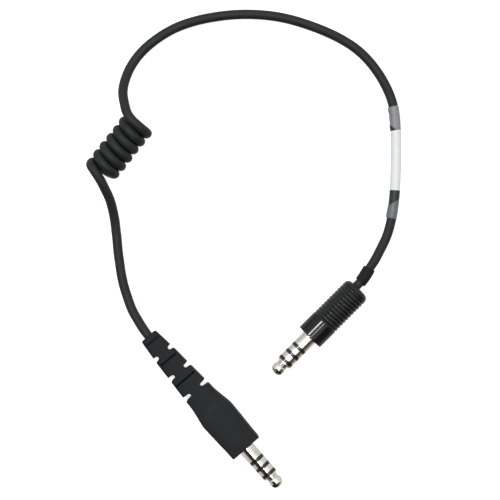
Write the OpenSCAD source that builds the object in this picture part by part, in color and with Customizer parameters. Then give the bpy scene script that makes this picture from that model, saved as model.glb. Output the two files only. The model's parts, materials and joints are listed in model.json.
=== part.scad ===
// Headset extension lead: a moulded plug and a screw-handle plug, both with
// four contacts in line, joined by a cord with a short curly section.
// Millimetres, +Z up. The lead lies on the plane Z = 0 and the origin is under
// the middle of the two plugs. +Y runs from the plug tips towards the curl.

/* [Plug contacts] */
// Diameter of both plug shanks
shank_d = 7.13; // [7.10:0.01:7.15]
// Length of the sleeve contact that shows
sleeve_len = 5.9; // [5.5:0.1:6.5]
// Length of each ring contact
ring_len = 2.5; // [2.3:0.1:2.8]
// Length of each insulating band
band_len = 1.5; // [1.3:0.1:1.7]
// Length of the tip contact
tip_len = 6.6; // [6.2:0.1:7.0]
// How far the insulating bands lie below the contacts
band_step = 0.04; // [0.02:0.01:0.10]

/* [Moulded plug] */
// Length of the overmoulding, from the cord end to the front face
grip_len = 65.3; // [64:0.1:67]
// Width of the grip where it is widest
grip_w = 15.8; // [15:0.1:16.5]
// Height of the grip, flat below and above
grip_h = 13.6; // [13.2:0.1:14]
// Thickness of the web between two side notches
web_w = 5.3; // [5.2:0.1:5.6]
// Width of a side notch at its round bottom
notch_w = 1.7; // [1.4:0.1:1.9]
// Width of a slot in the top and the underside
slot_w = 0.7; // [0.5:0.1:0.9]

/* [Screw handle plug] */
// Outer diameter of the handle
handle_d = 12.7; // [12.4:0.1:13]
// Length of the handle
handle_len = 30.2; // [29.8:0.1:31]
// Number of ribs round the handle
rib_count = 11; // [9:1:12]
// Distance from one rib to the next
rib_pitch = 1.66; // [1.5:0.01:1.66]
// Depth of the grooves between the ribs
rib_depth = 0.35; // [0.2:0.05:0.4]
// Thread pitch of handle and plug body
thread_pitch = 1.0; // [0.8:0.1:1.0]

/* [Cord] */
// Diameter of the cord
cord_d = 4.0; // [3.9:0.1:4.0]
// Outer diameter of the curly section
coil_d = 14.8; // [14:0.1:14.8]
// Length of the curly section at rest
coil_len = 31.9; // [30:0.1:32]
// Outer diameter of the label on the cord
label_d = 4.4; // [4.2:0.1:4.5]
// Outer diameter of the heat-shrink collar
collar_d = 5.45; // [5.2:0.05:5.8]

/* [Hidden] */
$fn = 64;
e = 0.01;

shank_r = shank_d / 2;
band_r = shank_r - band_step;
cord_r = cord_d / 2;

// stations along a plug, from the front face of its grip towards the tip
z_band_1 = sleeve_len;
z_ring_1 = z_band_1 + band_len;
z_band_2 = z_ring_1 + ring_len;
z_ring_2 = z_band_2 + band_len;
z_band_3 = z_ring_2 + ring_len;
z_tip = z_band_3 + band_len;
z_end = z_tip + tip_len;

// the contacts nest: rod, tube, tube and sleeve, with an insulator between each
r_rod = 0.9;
r_ins_3 = 1.2;
r_tube_2 = 1.6;
r_ins_2 = 1.9;
r_tube_1 = 2.3;
r_ins_1 = 2.6;

// rear ends of the nested pieces
z_rear_ins_1 = -9;
z_rear_tube_1 = -10;
z_rear_ins_2 = -11;
z_rear_tube_2 = -12;
z_rear_ins_3 = -13;
z_rear_rod = -15.5;
lug_t = 0.5;

// where each plug lies: front face of the grip, and the heading of its tip
plug_a = [-3.3, -28.1];
plug_a_z = grip_h / 2;
heading_a = -48.8;
plug_b = [24.3, 20.4];
plug_b_z = handle_d / 2;
heading_b = -135;

module place_a() translate([plug_a[0], plug_a[1], plug_a_z]) rotate([0, 0, heading_a]) rotate([0, 90, 0]) children();
module place_b() translate([plug_b[0], plug_b[1], plug_b_z]) rotate([0, 0, heading_b]) rotate([0, 90, 0]) children();

// a turned piece: [radius, station] corners
module turned(corners) rotate_extrude() polygon(corners);
// a tube from station z0 to z1
module tube(r_out, r_in, z0, z1) turned([[r_in, z0], [r_out, z0], [r_out, z1], [r_in, z1]]);
// a straight round rod between two points
module rod(p, q, r) {
    d = q - p;
    translate(p) rotate([0, acos(d[2] / norm(d)), atan2(d[1], d[0])]) cylinder(r = r, h = norm(d), $fn = 24);
}

// ---------------------------------------------------------------- contacts

module ring_contact(r_in, r_tube, z_head, z_rear, lug_angle) {
    turned([[r_in, z_rear], [r_tube, z_rear], [r_tube, z_head], [shank_r - 0.08, z_head], [shank_r, z_head + 0.08],
            [shank_r, z_head + ring_len - 0.08], [shank_r - 0.08, z_head + ring_len], [r_in, z_head + ring_len]]);
    lug(r_in, z_rear, 3.5, lug_angle);
}

// a flat solder tail on the rear end of a tube
module lug(r_in, z_rear, len, angle)
    rotate([0, 0, angle]) translate([r_in + 0.05, -0.8, z_rear - len]) cube([lug_t, 1.6, len + 0.2]);

module ring_1_contact() ring_contact(r_ins_2, r_tube_1, z_ring_1, z_rear_tube_1, 60);
module ring_2_contact() ring_contact(r_ins_3, r_tube_2, z_ring_2, z_rear_tube_2, 300);

module tip_contact() turned([
    [0, z_rear_rod], [r_rod, z_rear_rod], [r_rod, z_tip], [shank_r - 0.1, z_tip], [shank_r, z_tip + 0.1],
    [shank_r, z_tip + 0.55], [2.62, z_tip + 1.4], [2.45, z_tip + 1.75], [2.45, z_tip + 2.15], [2.66, z_tip + 2.5],
    [2.75, z_tip + 3.1], [2.75, z_tip + 4.3], [2.6, z_tip + 4.95], [2.3, z_tip + 5.5], [1.85, z_tip + 5.95],
    [1.3, z_tip + 6.3], [0.7, z_tip + 6.52], [0, z_end]]);

module insulator(r_in, r_tube, z_band, z_rear) turned([
    [r_in, z_rear], [r_tube, z_rear], [r_tube, z_band], [band_r, z_band], [band_r, z_band + band_len], [r_in, z_band + band_len]]);

module insulator_1() insulator(r_tube_1, r_ins_1, z_band_1, z_rear_ins_1);
module insulator_2() insulator(r_tube_2, r_ins_2, z_band_2, z_rear_ins_2);
module insulator_3() insulator(r_rod, r_ins_3, z_band_3, z_rear_ins_3);

// four conductors from the jacket's end to the solder tails; side is the
// sideways place of the jacket, tail_r and tail_z are the ground tail's
module wire(which, z_jacket, side, tail_r, tail_z) {
    from = [for (k = [0 : 3]) [0.9 * cos(90 * k + 60), 0.9 * sin(90 * k + 60) + side, z_jacket]];
    if (which == 0) rod(from[1], [-tail_r, 0, tail_z], 0.5);
    if (which == 1) rod(from[0], [2.15 * cos(60), 2.15 * sin(60), z_rear_tube_1 - 3.75], 0.5);
    if (which == 2) rod(from[3], [1.5 * cos(300), 1.5 * sin(300), z_rear_tube_2 - 3.7], 0.5);
    if (which == 3) rod(from[2], [0, 0, z_rear_rod - 0.28], 0.5);
}

// ---------------------------------------------------------------- moulded plug

z_cavity = -1.5;
shank_neck_r = 3.3;
z_mould = -22;
z_jacket_a = -27;
mould_r = 5.2;
neck_r = 3;
notch_z = [-55.3, -44.7, -33.9];
slot_z = [-62.3, -51.7, -40.5];
slot_half = [3.6, 4.25, 5.1];
tail_a_z = -14;

// half width at stations from the rear end to the front face
grip_side = [[3.1, -grip_len], [3.7, -grip_len + 0.3], [4.0, -grip_len + 1], [4.75, -56.2], [5.0, -54.5], [5.45, -45.6], [5.6, -43.8], [6.15, -34.9],
             [6.3, -32.9], [6.5, -28.6], [7.1, -24.5], [7.65, -21.5], [grip_w / 2, -19], [grip_w / 2 - 0.05, -16.5],
             [grip_w / 2 - 0.3, -10], [grip_w / 2 - 0.55, -5], [7.3, -0.5], [7.0, -0.12], [6.8, 0]];
// half height at the same kind of stations
grip_top = [[2.9, -grip_len], [3.5, -grip_len + 0.5], [3.7, -grip_len + 1], [4.4, -54.5], [5.0, -43.8], [5.6, -32.9], [5.8, -28.6],
            [6.3, -24], [grip_h / 2 - 0.12, -21], [grip_h / 2, -19], [grip_h / 2, -0.5], [grip_h / 2 - 0.3, -0.12], [grip_h / 2 - 0.5, 0]];

function both_sides(half) = concat([for (p = half) [p[0], p[1]]], [for (i = [len(half) - 1 : -1 : 0]) [-half[i][0], half[i][1]]]);

module grip_outside() intersection() {
    // rounds the four long edges
    turned(concat([[0, -grip_len]], [for (p = grip_side) [p[0] * 1.13, p[1]]], [[0, 0]]));
    // plan outline: local Y across, local Z along
    rotate([90, 0, 90]) linear_extrude(height = 20, center = true) polygon(both_sides(grip_side));
    // side outline: local X is height
    rotate([90, 0, 0]) linear_extrude(height = 20, center = true) polygon(both_sides(grip_top));
}

module side_notch(z) for (s = [-1, 1]) rotate([90, 0, 90]) linear_extrude(height = 20, center = true) union() {
    translate([s * (web_w / 2 + notch_w / 2), z]) circle(d = notch_w, $fn = 32);
    polygon([[s * (web_w / 2 + notch_w / 2), z - notch_w / 2], [s * 9, z - notch_w / 2 - 0.45],
             [s * 9, z + notch_w / 2 + 0.45], [s * (web_w / 2 + notch_w / 2), z + notch_w / 2]]);
}

module top_slot(z, half) for (s = [-1, 1])
    translate([s > 0 ? web_w / 2 : -web_w / 2 - 6, -half, z - slot_w / 2]) cube([6, 2 * half, slot_w]);

// a shallow oval pad let into the top of the grip
module grip_pad() translate([-grip_h / 2 - 1, 0, -14.6]) rotate([0, 90, 0]) linear_extrude(height = 1.3) union() {
    square([11, 9], center = true);
    for (s = [-1, 1]) translate([s * 5.5, 0]) circle(d = 9);
}

// everything of the contacts that the inner mould closes on
module contact_tails_a() {
    tube_solid(shank_neck_r, -8, 0);
    tube_solid(5, -3.6, -2.4);
    tube_solid(r_ins_1, z_rear_ins_1, -7.9);
    tube_solid(r_tube_1, z_rear_tube_1, -8.9);
    tube_solid(r_ins_2, z_rear_ins_2, -9.9);
    tube_solid(r_tube_2, z_rear_tube_2, -10.9);
    tube_solid(r_ins_3, z_rear_ins_3, -11.9);
    tube_solid(r_rod, z_rear_rod, -12.9);
    lug(r_ins_2, z_rear_tube_1, 3.5, 60);
    lug(r_ins_3, z_rear_tube_2, 3.5, 300);
    ground_lug_a();
    for (k = [0 : 3]) wire(k, z_jacket_a + 0.1, 0, 2.85, tail_a_z - 0.15);
}
module tube_solid(r, z0, z1) translate([0, 0, z0]) cylinder(r = r, h = z1 - z0);
module ground_lug_a() rotate([0, 0, 180]) translate([r_ins_1 + 0.05, -1, tail_a_z]) cube([lug_t, 2, -8 - tail_a_z + 0.2]);

module moulded_grip() color([0.13, 0.13, 0.15]) place_a() difference() {
    grip_outside();
    tube_solid(shank_neck_r, z_cavity - e, 1);
    tube_solid(mould_r, z_mould, z_cavity);
    turned([[0, z_jacket_a], [neck_r, z_jacket_a], [mould_r, z_mould], [0, z_mould]]);
    tube_solid(cord_r, -grip_len - 1, z_jacket_a + e);
    for (z = notch_z) side_notch(z);
    for (k = [0 : 2]) top_slot(slot_z[k], slot_half[k]);
    grip_pad();
}

module inner_mould() color([0.75, 0.74, 0.7]) place_a() difference() {
    turned([[0, z_jacket_a], [neck_r, z_jacket_a], [mould_r, z_mould], [mould_r, z_cavity], [0, z_cavity]]);
    contact_tails_a();
}

module sleeve_a() color([0.8, 0.79, 0.76]) place_a() {
    turned([[r_ins_1, -8], [shank_neck_r, -8], [shank_neck_r, -3.6], [5, -3.6], [5, -2.4], [shank_neck_r, -2.4],
            [shank_neck_r, 0], [shank_r, 0], [shank_r, z_band_1 - 0.08], [shank_r - 0.08, z_band_1], [r_ins_1, z_band_1]]);
    ground_lug_a();
}
module ring_1_a() color([0.8, 0.79, 0.76]) place_a() ring_1_contact();
module ring_2_a() color([0.8, 0.79, 0.76]) place_a() ring_2_contact();
module tip_a() color([0.8, 0.79, 0.76]) place_a() tip_contact();
module insulator_1_a() color([0.12, 0.1, 0.09]) place_a() insulator_1();
module insulator_2_a() color([0.12, 0.1, 0.09]) place_a() insulator_2();
module insulator_3_a() color([0.12, 0.1, 0.09]) place_a() insulator_3();
module cord_end_a() color([0.2, 0.21, 0.2]) place_a() tube_solid(cord_r, -grip_len, z_jacket_a);
module wire_sleeve_a() color("silver") place_a() wire(0, z_jacket_a + 0.1, 0, 2.85, tail_a_z - 0.15);
module wire_ring_1_a() color("red") place_a() wire(1, z_jacket_a + 0.1, 0, 0, 0);
module wire_ring_2_a() color("white") place_a() wire(2, z_jacket_a + 0.1, 0, 0, 0);
module wire_tip_a() color("green") place_a() wire(3, z_jacket_a + 0.1, 0, 0, 0);

// ---------------------------------------------------------------- screw handle plug

boss_r = 5;
boss_root = 4.6;
bore_clear = 0.06;
z_boss = -6.5;
z_washer = -8.5;
z_jacket_b = -20;
jacket_side = -1.32;
tail_end = -23.5;
clamp_r = 2.55;
rib_start = -handle_len + 2.7;

// ribs: each is a flat crest with a groove in front of it
function rib_corners(k) = let (z = rib_start + k * rib_pitch) [
    [handle_d / 2, z], [handle_d / 2, z + rib_pitch * 0.3],
    [handle_d / 2 - rib_depth, z + rib_pitch * 0.55], [handle_d / 2 - rib_depth, z + rib_pitch * 0.75]];

module handle_outside() turned(concat(
    [[0, -handle_len], [4.1, -handle_len], [5.0, -handle_len + 0.3], [5.7, -handle_len + 0.9], [6.15, -handle_len + 1.7]],
    [for (k = [0 : rib_count - 1]) each rib_corners(k)],
    [[handle_d / 2, rib_start + rib_count * rib_pitch + 0.1], [handle_d / 2, -0.4], [handle_d / 2 - 0.4, 0], [0, 0]]));

module handle() color([0.08, 0.08, 0.09]) place_b() difference() {
    handle_outside();
    // mouth and thread bore, cavity, cone and cord hole
    turned([[0, -handle_len - 1], [3.6, -handle_len - 1], [3.6, -28.2], [4.7, -26.5], [4.7, -7.6], [boss_r + bore_clear, -7.6],
            [boss_r + bore_clear, 1], [0, 1]]);
    // thread roots
    for (k = [0 : 4]) turned([[boss_r, -2.1 - k * thread_pitch], [boss_r + 0.4, -1.85 - k * thread_pitch],
                              [boss_r + 0.4, -1.6 - k * thread_pitch], [boss_r, -1.35 - k * thread_pitch]]);
}

// ground tail: a strip that steps in behind the washer to reach the jacket
module ground_tail_b() rotate([0, -90, 0]) linear_extrude(height = 2.4, center = true)
    polygon([[z_boss + 0.3, 3.3], [z_boss + 0.3, 3.8], [-15.6, 3.8], [-17.8, 1.73], [tail_end, 1.73], [tail_end, 1.23], [-18.05, 1.23], [-15.85, 3.3]]);

module plug_body_b() color([0.8, 0.79, 0.76]) place_b() union() {
    difference() {
        turned([[r_ins_1, z_boss], [boss_r - 0.4, z_boss], [boss_r, z_boss + 0.4], [boss_r, -0.35], [3.95, -0.35], [3.95, 0.2], [3.8, 0.35],
                [shank_r, 0.35], [shank_r, z_band_1 - 0.08], [shank_r - 0.08, z_band_1], [r_ins_1, z_band_1]]);
        for (k = [0 : 4]) turned([[boss_r + 0.1, -2.1 - k * thread_pitch], [boss_root, -1.8 - k * thread_pitch],
                                  [boss_root, -1.65 - k * thread_pitch], [boss_r + 0.1, -1.35 - k * thread_pitch]]);
    }
    ground_tail_b();
}
module ring_1_b() color([0.8, 0.79, 0.76]) place_b() ring_1_contact();
module ring_2_b() color([0.8, 0.79, 0.76]) place_b() ring_2_contact();
module tip_b() color([0.8, 0.79, 0.76]) place_b() tip_contact();
module insulator_1_b() color([0.12, 0.1, 0.09]) place_b() insulator_1();
module insulator_2_b() color([0.12, 0.1, 0.09]) place_b() insulator_2();
module insulator_3_b() color([0.12, 0.1, 0.09]) place_b() insulator_3();
module terminal_washer() color([0.3, 0.2, 0.13]) place_b() difference() {
    tube(4.4, r_ins_1, z_washer, z_boss);
    ground_tail_b();
}
module cord_clamp() color([0.8, 0.79, 0.76]) place_b() translate([0, jacket_side, 0]) tube(clamp_r, cord_r + 0.05, -23, -20.6);

// the ground conductor ends beside the strip, the others at their tails
module wire_b(which) {
    from = [for (k = [0 : 3]) [0.9 * cos(90 * k + 60), 0.9 * sin(90 * k + 60) + jacket_side, z_jacket_b + 0.35]];
    if (which == 0) rod(from[1], [-0.5, 0.64, -18.2], 0.5);
    if (which == 1) rod(from[0], [2.15 * cos(60), 2.15 * sin(60), z_rear_tube_1 - 3.75], 0.5);
    if (which == 2) rod(from[3], [1.5 * cos(300), 1.5 * sin(300), z_rear_tube_2 - 3.7], 0.5);
    if (which == 3) rod(from[2], [0, 0, z_rear_rod - 0.28], 0.5);
}
module wire_sleeve_b() color("silver") place_b() wire_b(0);
module wire_ring_1_b() color("red") place_b() wire_b(1);
module wire_ring_2_b() color("white") place_b() wire_b(2);
module wire_tip_b() color("green") place_b() wire_b(3);

// ---------------------------------------------------------------- cord

// direction in plan along the curl, from the lower cord to the upper one
coil_dir = [0.62, 0.785];
coil_mid = [-58.7, 102.8, coil_d / 2];

// where the cord leaves the strain relief, and where its jacket ends in the handle
lower_start = [plug_a[0] - grip_len * cos(heading_a), plug_a[1] - grip_len * sin(heading_a), plug_a_z];
jacket_end = [plug_b[0] + z_jacket_b * cos(heading_b) - jacket_side * sin(heading_b),
              plug_b[1] + z_jacket_b * sin(heading_b) + jacket_side * cos(heading_b), plug_b_z];
// route of the cord from the moulded plug to the curl
lower_route = [lower_start, [-49.5, 25.5, 5.9], [-53.3, 31.5, 3.7], [-56, 38, 2.3], [-58, 45, 2],
               [-59.3, 53.5, 2], [-60.3, 62.5, 2], [-61.5, 72, 2.9], [-63.3, 81, 7], [-65, 85.5, 10], [-67.1, 89.5, 11.6]];
// route from the curl to the screw-handle plug
upper_route = [[-56.3, 121.3, 10.4], [-57.2, 127, 7.6], [-56.8, 132.5, 5], [-54.5, 139, 2.8], [-50, 145.5, 2], [-43, 151.5, 2],
               [-35, 156.2, 2], [-26.5, 159.3, 2], [-17, 161.3, 2], [-7.5, 162.3, 2], [2.5, 162.2, 2], [12, 161, 2],
               [21.5, 158.5, 2], [30.5, 155.2, 2], [39, 151.1, 2], [46.5, 145.9, 2], [52.5, 139.5, 2], [57.2, 132.3, 2.1],
               [61.3, 121.8, 2.3], [62.4, 111.2, 2.3], [62.6, 102.4, 2.3], [62.4, 93.6, 2.3], [61.9, 83.5, 2.3], [60.5, 72.5, 2.3],
               [58.3, 64.3, 2.7], [55, 57.8, 3.8], [52.7, 53.9, 4.7], [50.6, 50.5, 5.3], [46.5, 44.5, 6.2], [44.7, 42.7, 6.35], jacket_end];
label_first = 18;
label_last = 23;
collar_first = 27;

function unit(v) = v / norm(v);
// direction of the route at point i; first and last may be given
function heading(route, i, first, last) =
    i == 0 ? unit(first) : i == len(route) - 1 ? unit(last) : unit(unit(route[i + 1] - route[i]) + unit(route[i] - route[i - 1]));
function ring_at(route, i, r, n, first, last) =
    let (t = heading(route, i, first, last), s = unit(cross(t, [0, 0, 1])), u = cross(s, t))
    [for (k = [0 : n - 1]) route[i] + r * (cos(360 * k / n) * s + sin(360 * k / n) * u)];

module swept_cord(route, r, n, first, last) {
    m = len(route);
    points = [for (i = [0 : m - 1]) each ring_at(route, i, r, n, first, last)];
    sides = [for (i = [0 : m - 2], k = [0 : n - 1]) [i * n + k, i * n + (k + 1) % n, (i + 1) * n + (k + 1) % n, (i + 1) * n + k]];
    polyhedron(points = points, faces = concat([[for (k = [n - 1 : -1 : 0]) k]], sides, [[for (k = [0 : n - 1]) (m - 1) * n + k]]), convexity = 10);
}

// a sleeve round route points a to b, its inside on the cord's own faces
module swept_sleeve(route, a, b, r_in, r_out, n, first, last) {
    m = b - a + 1;
    points = concat([for (i = [a : b]) each ring_at(route, i, r_out, n, first, last)], [for (i = [a : b]) each ring_at(route, i, r_in, n, first, last)]);
    o = m * n;
    outer = [for (i = [0 : m - 2], k = [0 : n - 1]) [i * n + k, i * n + (k + 1) % n, (i + 1) * n + (k + 1) % n, (i + 1) * n + k]];
    inner = [for (i = [0 : m - 2], k = [0 : n - 1]) [o + (i + 1) * n + k, o + (i + 1) * n + (k + 1) % n, o + i * n + (k + 1) % n, o + i * n + k]];
    ends = [for (k = [0 : n - 1]) each [[k, o + k, o + (k + 1) % n, (k + 1) % n],
            [(m - 1) * n + k, (m - 1) * n + (k + 1) % n, o + (m - 1) * n + (k + 1) % n, o + (m - 1) * n + k]]];
    polyhedron(points = points, faces = concat(outer, inner, ends), convexity = 10);
}

lower_first = [-cos(heading_a), -sin(heading_a), 0];
lower_last = [-0.42, 0.8, 0.32];
upper_first = [-0.2, 0.9, -0.4];
upper_last = [cos(heading_b), sin(heading_b), 0];
cord_sides = 10;

module cord_lower() color([0.2, 0.21, 0.2]) swept_cord(lower_route, cord_r, cord_sides, lower_first, lower_last);
module cord_upper() color([0.2, 0.21, 0.2]) swept_cord(upper_route, cord_r, cord_sides, upper_first, upper_last);
module cord_coil() color([0.2, 0.21, 0.2])
    translate(coil_mid) rotate([0, 0, atan2(coil_dir[1], coil_dir[0])]) rotate([0, 90, 0]) cylinder(d = coil_d, h = coil_len, center = true);
module cord_label() color([0.9, 0.9, 0.9]) swept_sleeve(upper_route, label_first, label_last, cord_r, label_d / 2, cord_sides, upper_first, upper_last);
module shrink_collar() color([0.15, 0.15, 0.16]) difference() {
    rod(upper_route[collar_first], upper_route[collar_first + 1], collar_d / 2);
    rod(2 * upper_route[collar_first] - upper_route[collar_first + 1], 2 * upper_route[collar_first + 1] - upper_route[collar_first], cord_r + 0.02);
}

moulded_grip();
inner_mould();
sleeve_a();
ring_1_a();
ring_2_a();
tip_a();
insulator_1_a();
insulator_2_a();
insulator_3_a();
cord_end_a();
wire_sleeve_a();
wire_ring_1_a();
wire_ring_2_a();
wire_tip_a();
handle();
plug_body_b();
ring_1_b();
ring_2_b();
tip_b();
insulator_1_b();
insulator_2_b();
insulator_3_b();
terminal_washer();
cord_clamp();
wire_sleeve_b();
wire_ring_1_b();
wire_ring_2_b();
wire_tip_b();
cord_lower();
cord_coil();
cord_upper();
cord_label();
shrink_collar();
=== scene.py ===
import json
import math

import bmesh
import bpy
import numpy as np
from mathutils import Matrix, Vector

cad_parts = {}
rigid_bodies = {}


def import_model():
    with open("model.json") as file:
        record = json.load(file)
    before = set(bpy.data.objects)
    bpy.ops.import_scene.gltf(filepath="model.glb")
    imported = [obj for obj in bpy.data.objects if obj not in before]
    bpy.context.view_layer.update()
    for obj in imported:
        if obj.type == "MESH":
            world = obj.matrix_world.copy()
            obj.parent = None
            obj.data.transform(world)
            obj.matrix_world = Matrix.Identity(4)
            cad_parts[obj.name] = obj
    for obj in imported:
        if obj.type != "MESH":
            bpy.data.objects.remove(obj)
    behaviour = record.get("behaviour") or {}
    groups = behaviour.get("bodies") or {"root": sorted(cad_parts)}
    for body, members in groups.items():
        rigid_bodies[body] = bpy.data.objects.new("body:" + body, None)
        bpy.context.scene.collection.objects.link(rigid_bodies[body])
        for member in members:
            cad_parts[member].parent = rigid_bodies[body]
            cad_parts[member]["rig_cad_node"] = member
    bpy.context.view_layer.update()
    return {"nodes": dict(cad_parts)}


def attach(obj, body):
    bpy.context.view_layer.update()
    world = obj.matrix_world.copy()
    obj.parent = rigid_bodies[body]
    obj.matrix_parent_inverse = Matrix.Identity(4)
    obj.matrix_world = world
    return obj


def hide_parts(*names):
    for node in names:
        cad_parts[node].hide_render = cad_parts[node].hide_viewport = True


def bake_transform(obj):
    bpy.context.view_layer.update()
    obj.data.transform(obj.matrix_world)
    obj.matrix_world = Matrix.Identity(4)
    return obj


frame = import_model()
scene = bpy.context.scene
MM = 0.001

# ------------------------------------------------------------------ camera
# straight down, 800 mm above the table
camera = bpy.data.objects.new("camera", bpy.data.cameras.new("camera"))
camera.data.sensor_width = 36
camera.data.lens = 130.45
camera.data.clip_start = 0.02
camera.location = (-0.0018, 0.0586, 0.800)
scene.collection.objects.link(camera)
scene.camera = camera

# ------------------------------------------------------------------ sizes, in mm
# the two plugs: front face of the grip or handle on the plug's axis, and the heading of the tip
A_AT, A_HEAD = (-3.3, -28.1, 6.8), -48.8
B_AT, B_HEAD = (24.3, 20.4, 6.35), -135.0
SHANK_R, BAND_R = 3.565, 3.525
Z_BAND = (5.9, 9.9, 13.9)
Z_RING = (7.4, 11.4)
Z_TIP, Z_END = 15.4, 22.0
R_ROD, R_INS = 0.9, (2.6, 1.9, 1.2)
R_TUBE = (2.3, 1.6)
CORD_R = 2.0


def plug_matrix(at, heading):
    """Local Z runs to the plug's tip and local -X is up."""
    h = math.radians(heading)
    return Matrix(((0, -math.sin(h), math.cos(h), at[0] * MM), (0, math.cos(h), math.sin(h), at[1] * MM), (-1, 0, 0, at[2] * MM), (0, 0, 0, 1)))


PLUG_A, PLUG_B = plug_matrix(A_AT, A_HEAD), plug_matrix(B_AT, B_HEAD)


# ------------------------------------------------------------------ mesh helpers
def mesh_object(name, verts, faces, matrix=None, sharp=30.0, fix_normals=False):
    """A mesh from points in mm, smooth but for edges sharper than the angle."""
    mesh = bpy.data.meshes.new(name)
    mesh.from_pydata((np.asarray(verts, float) * MM).tolist(), [], faces if isinstance(faces, list) else faces.tolist())
    if fix_normals:
        bm = bmesh.new()
        bm.from_mesh(mesh)
        bmesh.ops.recalc_face_normals(bm, faces=bm.faces)
        bm.to_mesh(mesh)
        bm.free()
    mesh.validate()
    mesh.polygons.foreach_set("use_smooth", np.ones(len(mesh.polygons), bool))
    if sharp is not None:
        mesh.set_sharp_from_angle(angle=math.radians(sharp))
    obj = bpy.data.objects.new(name, mesh)
    scene.collection.objects.link(obj)
    if matrix is not None:
        obj.matrix_world = matrix
    return obj


def rounded(points, radius, closed, steps=4):
    """The outline with each corner rounded off."""
    p = [np.array(q, float) for q in points]
    n, out = len(p), []
    for i, q in enumerate(p):
        if not closed and i in (0, n - 1):
            out.append(q)
            continue
        a, b = p[i - 1] - q, p[(i + 1) % n] - q
        la, lb = np.linalg.norm(a), np.linalg.norm(b)
        turn = math.pi - math.acos(max(-1, min(1, float(a @ b) / (la * lb))))
        if turn < math.radians(8):
            out.append(q)
            continue
        cut = min(radius * math.tan(turn / 2), 0.45 * la, 0.45 * lb)
        s, e = q + a / la * cut, q + b / lb * cut
        for k in range(steps + 1):
            u = k / steps
            out.append(s * (1 - u) ** 2 + 2 * q * u * (1 - u) + e * u * u)
    return out


def smooth_line(points, per=8):
    """Catmull-Rom through the points."""
    p = np.array(points, float)
    p = np.vstack([2 * p[0] - p[1], p, 2 * p[-1] - p[-2]])
    out = []
    for i in range(1, len(p) - 2):
        for k in range(per):
            u = k / per
            out.append(0.5 * (2 * p[i] + (p[i + 1] - p[i - 1]) * u + (2 * p[i - 1] - 5 * p[i] + 4 * p[i + 1] - p[i + 2]) * u * u
                              + (3 * p[i] - p[i - 1] - 3 * p[i + 1] + p[i + 2]) * u ** 3))
    out.append(p[-2])
    return out


def turned(name, outline, matrix, closed, segments=112, radius_at=None, sharp=30.0):
    """A turned piece. The outline is (radius, station) in mm: closed, or open with both ends on the axis. radius_at may vary the radius round the axis."""
    # a ring close to both ends of each long face keeps its shading flat up to the corner
    out, n = [], len(outline)
    for k, q in enumerate(outline):
        out.append((k, *q))
        if k == n - 1 and not closed:
            continue
        q, after = np.array(q, float), np.array(outline[(k + 1) % n], float)
        gap = np.linalg.norm(after - q)
        if gap > 0.7:
            out += [(k + 0.3, *(q + (after - q) * 0.1 / gap)), (k + 0.7, *(after - (after - q) * 0.1 / gap))]
    angles = np.arange(segments) * 2 * math.pi / segments
    verts, index = [], []
    for k, r, z in out:
        if r < 1e-6:
            index.append([len(verts)] * segments)
            verts.append((0, 0, z))
            continue
        index.append(list(range(len(verts), len(verts) + segments)))
        rr = np.full(segments, r) if radius_at is None else radius_at(k, r, z, angles)
        verts += list(zip(rr * np.cos(angles), rr * np.sin(angles), np.full(segments, z)))
    faces, n = [], len(out)
    for k in range(n if closed else n - 1):
        a, b = index[k], index[(k + 1) % n]
        for j in range(segments):
            m = (j + 1) % segments
            f = [a[j], a[m], b[m], b[j]]
            f = [v for i, v in enumerate(f) if v not in f[:i]]
            if len(f) > 2:
                faces.append(f)
    return mesh_object(name, verts, faces, matrix, sharp=sharp, fix_normals=True)


def prism(name, corners, low, high, matrix):
    """corners are (y, z) in mm, drawn out along local X from low to high."""
    n = len(corners)
    verts = [(low, y, z) for y, z in corners] + [(high, y, z) for y, z in corners]
    faces = [list(range(n)), list(range(2 * n - 1, n - 1, -1))] + [[i, (i + 1) % n, n + (i + 1) % n, n + i] for i in range(n)]
    return mesh_object(name, verts, faces, matrix, fix_normals=True)


def join_solids(obj, *others):
    """One closed solid from several, with their overlaps taken out."""
    for other in others:
        mod = obj.modifiers.new("join", "BOOLEAN")
        mod.operation, mod.solver, mod.object = "UNION", "EXACT", other
        bpy.context.view_layer.update()
        made = bpy.data.meshes.new_from_object(obj.evaluated_get(bpy.context.evaluated_depsgraph_get()))
        obj.modifiers.clear()
        obj.data = made
        bpy.data.objects.remove(other)
    obj.data.polygons.foreach_set("use_smooth", np.ones(len(obj.data.polygons), bool))
    obj.data.set_sharp_from_angle(angle=math.radians(30))
    return obj


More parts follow.
